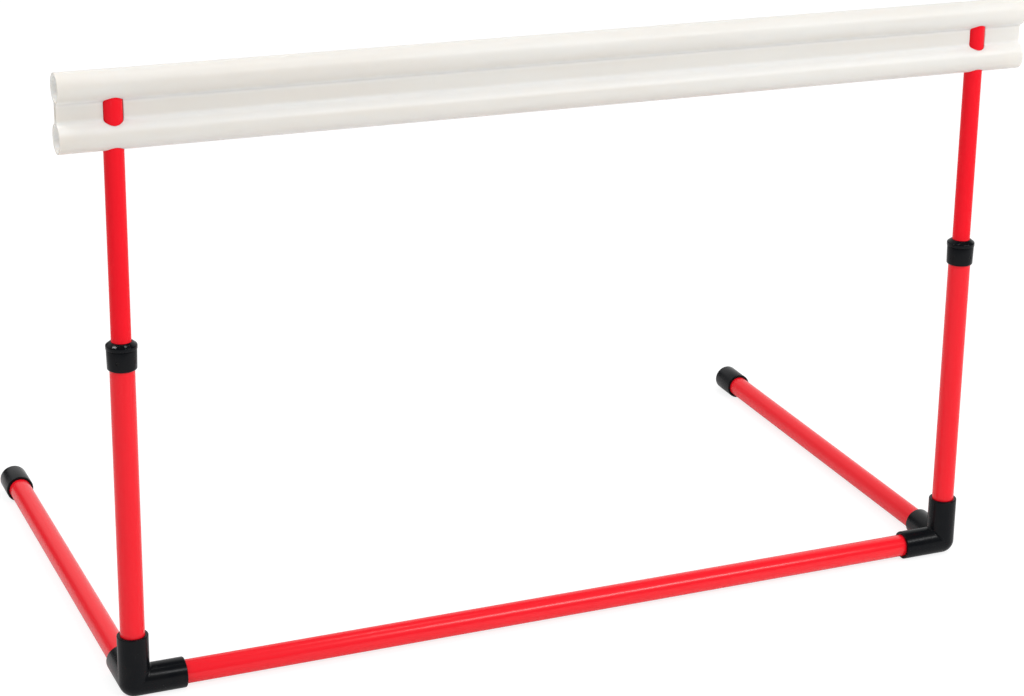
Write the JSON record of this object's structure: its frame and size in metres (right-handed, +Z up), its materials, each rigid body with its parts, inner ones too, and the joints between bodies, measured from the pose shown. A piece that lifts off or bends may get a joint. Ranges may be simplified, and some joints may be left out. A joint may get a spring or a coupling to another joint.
{
  "type": "speed hurdle",
  "caption": "Free-standing training hurdle: a hollow bar with round beads sits on telescoping tube uprights with twist-lock collars, above a U-shaped tube base.",
  "frame": {"origin": "on the ground, under the middle of the hurdle's bounding box", "axes": "+X along the bar, from the left upright to the right one as seen from the front; +Y backwards along the feet; +Z up"},
  "size_m": [1.06, 0.579, 0.656],
  "materials": {
    "red_tube": "satin",
    "black_moulding": "satin",
    "black_collar": "satin",
    "grip_plastic": "matte",
    "black_screw": "satin",
    "white_bar": "satin"
  },
  "bodies": {
    "base": {"base_crossbar": "red_tube", "left_corner_fitting": "black_moulding", "left_foot_tube": "red_tube", "left_foot_cap": "black_moulding", "left_lower_upright": "red_tube", "left_collar_sleeve": "black_collar", "left_sleeve_screw": "black_screw", "left_grip_ring": "grip_plastic", "right_corner_fitting": "black_moulding", "right_foot_tube": "red_tube", "right_foot_cap": "black_moulding", "right_lower_upright": "red_tube", "right_collar_sleeve": "black_collar", "right_sleeve_screw": "black_screw", "right_grip_ring": "grip_plastic"},
    "left_mast": {"left_upper_upright": "red_tube"},
    "right_mast": {"right_upper_upright": "red_tube"},
    "left_nut": {"left_lock_nut": "black_collar"},
    "right_nut": {"right_lock_nut": "black_collar"},
    "bar": {"hurdle_bar": "white_bar"}
  },
  "joints": [
    {"name": "left_height", "type": "slide", "parent": "base", "child": "left_mast", "axis": [0, 0, 1], "range_m": [-0.156, 0.104]},
    {"name": "right_height", "type": "slide", "parent": "base", "child": "right_mast", "axis": [0, 0, 1], "range_m": [-0.156, 0.104]},
    {"name": "bar_lift", "type": "slide", "parent": "left_mast", "child": "bar", "axis": [0, 0, 1], "range_m": [0, 0.09]},
    {"name": "left_nut_twist", "type": "hinge", "parent": "base", "child": "left_nut", "pos_m": [-0.476, -0.2735, 0.378], "axis": [0, 0, 1], "range_deg": [0, 180]},
    {"name": "right_nut_twist", "type": "hinge", "parent": "base", "child": "right_nut", "pos_m": [0.476, -0.2735, 0.378], "axis": [0, 0, 1], "range_deg": [0, 180]}
  ],
  "couplings": [
    {"joint": "right_height", "follows": "left_height", "ratio": 1}
  ]
}
